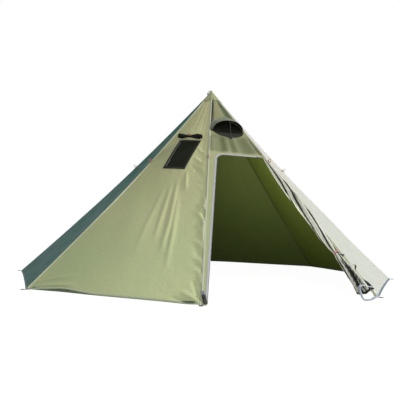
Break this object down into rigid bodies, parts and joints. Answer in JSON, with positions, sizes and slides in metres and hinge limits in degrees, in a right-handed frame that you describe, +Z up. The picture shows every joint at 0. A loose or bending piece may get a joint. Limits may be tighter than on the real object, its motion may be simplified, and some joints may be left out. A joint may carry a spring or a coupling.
{
  "type": "teepee tent",
  "caption": "Pitched pyramid tent on a centre pole, with a rolled-back zip door, a propped hooded vent and a stove pipe jack with its flap rolled up.",
  "frame": {"origin": "on the ground below the apex, in the middle of the eight-sided floor", "axes": "+Z up; the door panel faces -Y; +X to the right of someone facing the door from outside"},
  "size_m": [3.0192, 3.0192, 1.6084],
  "materials": {
    "canopy_cloth": "satin",
    "black_webbing": "matte",
    "jack_cloth": "matte",
    "net": "matte",
    "red_cord": "matte",
    "zip_tape": "matte",
    "zip_plastic": "satin",
    "zip_metal": "satin",
    "pink_toggle": "satin",
    "red_toggle": "satin",
    "grey_plastic": "satin",
    "black_plastic": "satin",
    "orange_anodised": "satin",
    "bare_aluminium": "satin",
    "steel": "satin",
    "lime_plastic": "satin",
    "foot_rubber": "matte"
  },
  "bodies": {
    "canopy": {"apex_cap": "canopy_cloth", "apex_cup": "black_plastic", "apex_loop": "black_webbing", "back_left_panel": "canopy_cloth", "back_panel": "canopy_cloth", "back_right_panel": "canopy_cloth", "door_base_buckle": "grey_plastic", "door_base_loop": "black_webbing", "door_jamb_left": "canopy_cloth", "door_jamb_right": "canopy_cloth", "door_roll": "canopy_cloth", "door_tie_band": "black_webbing", "door_tie_strap": "canopy_cloth", "front_left_panel": "canopy_cloth", "front_lintel_panel": "canopy_cloth", "front_right_panel": "canopy_cloth", "front_top_panel": "canopy_cloth", "guy_loops": "red_cord", "guy_patches": "black_webbing", "hem_tapes": "canopy_cloth", "left_panel": "canopy_cloth", "lever_pin": "steel", "lock_collar": "lime_plastic", "lower_ferrule": "bare_aluminium", "peg_eyelets": "steel", "peg_tabs": "black_webbing", "pole_lower_tube": "orange_anodised", "pole_middle_tube": "orange_anodised", "pole_tip": "black_plastic", "pole_upper_tube": "orange_anodised", "right_panel": "canopy_cloth", "seam_tapes": "canopy_cloth", "stove_flap_cord": "black_webbing", "stove_flap_roll": "black_webbing", "stove_jack_border": "black_webbing", "stove_jack_cloth": "jack_cloth", "upper_ferrule": "bare_aluminium", "vent_hood": "canopy_cloth", "vent_mesh": "net", "vent_prop_pin": "steel", "vent_prop_socket": "black_plastic", "zip_coil": "zip_plastic", "zip_stops": "zip_plastic", "zip_tape": "zip_tape"},
    "foot": {"foot_tube": "bare_aluminium", "pole_foot": "foot_rubber"},
    "lever": {"lock_lever": "lime_plastic"},
    "prop": {"vent_prop": "black_plastic"},
    "slider": {"zip_slider": "zip_metal"},
    "pull": {"zip_pull": "zip_metal"},
    "flap_toggle": {"stove_flap_toggle": "red_toggle"},
    "door_toggle": {"door_tie_toggle": "pink_toggle"}
  },
  "joints": [
    {"name": "foot_slide", "type": "slide", "parent": "canopy", "child": "foot", "axis": [0, 0, -1], "range_m": [0, 0.25]},
    {"name": "lever_swing", "type": "hinge", "parent": "canopy", "child": "lever", "pos_m": [-0.02503, 0.01011, 0.085], "axis": [0, 0, 1], "range_deg": [0, 140]},
    {"name": "prop_fold", "type": "hinge", "parent": "canopy", "child": "prop", "pos_m": [0, -0.44269, 1.13041], "axis": [1, 0, 0], "range_deg": [-26, 0]},
    {"name": "slider_travel", "type": "slide", "parent": "canopy", "child": "slider", "axis": [-1, 0, 0], "range_m": [0, 0.25]},
    {"name": "pull_swing", "type": "hinge", "parent": "slider", "child": "pull", "pos_m": [0.16686, -0.58802, 0.97333], "axis": [-1, 0, 0], "range_deg": [0, 140]},
    {"name": "flap_toggle_turn", "type": "hinge", "parent": "canopy", "child": "flap_toggle", "pos_m": [-0.30004, -0.33603, 1.11317], "axis": [-0.5194, -0.5194, 0.6786], "range_deg": [0, 90]},
    {"name": "door_toggle_turn", "type": "hinge", "parent": "canopy", "child": "door_toggle", "pos_m": [0.42933, -1.25622, 0.27193], "axis": [-0.0004, -0.7335, 0.6797], "range_deg": [0, 90]}
  ]
}
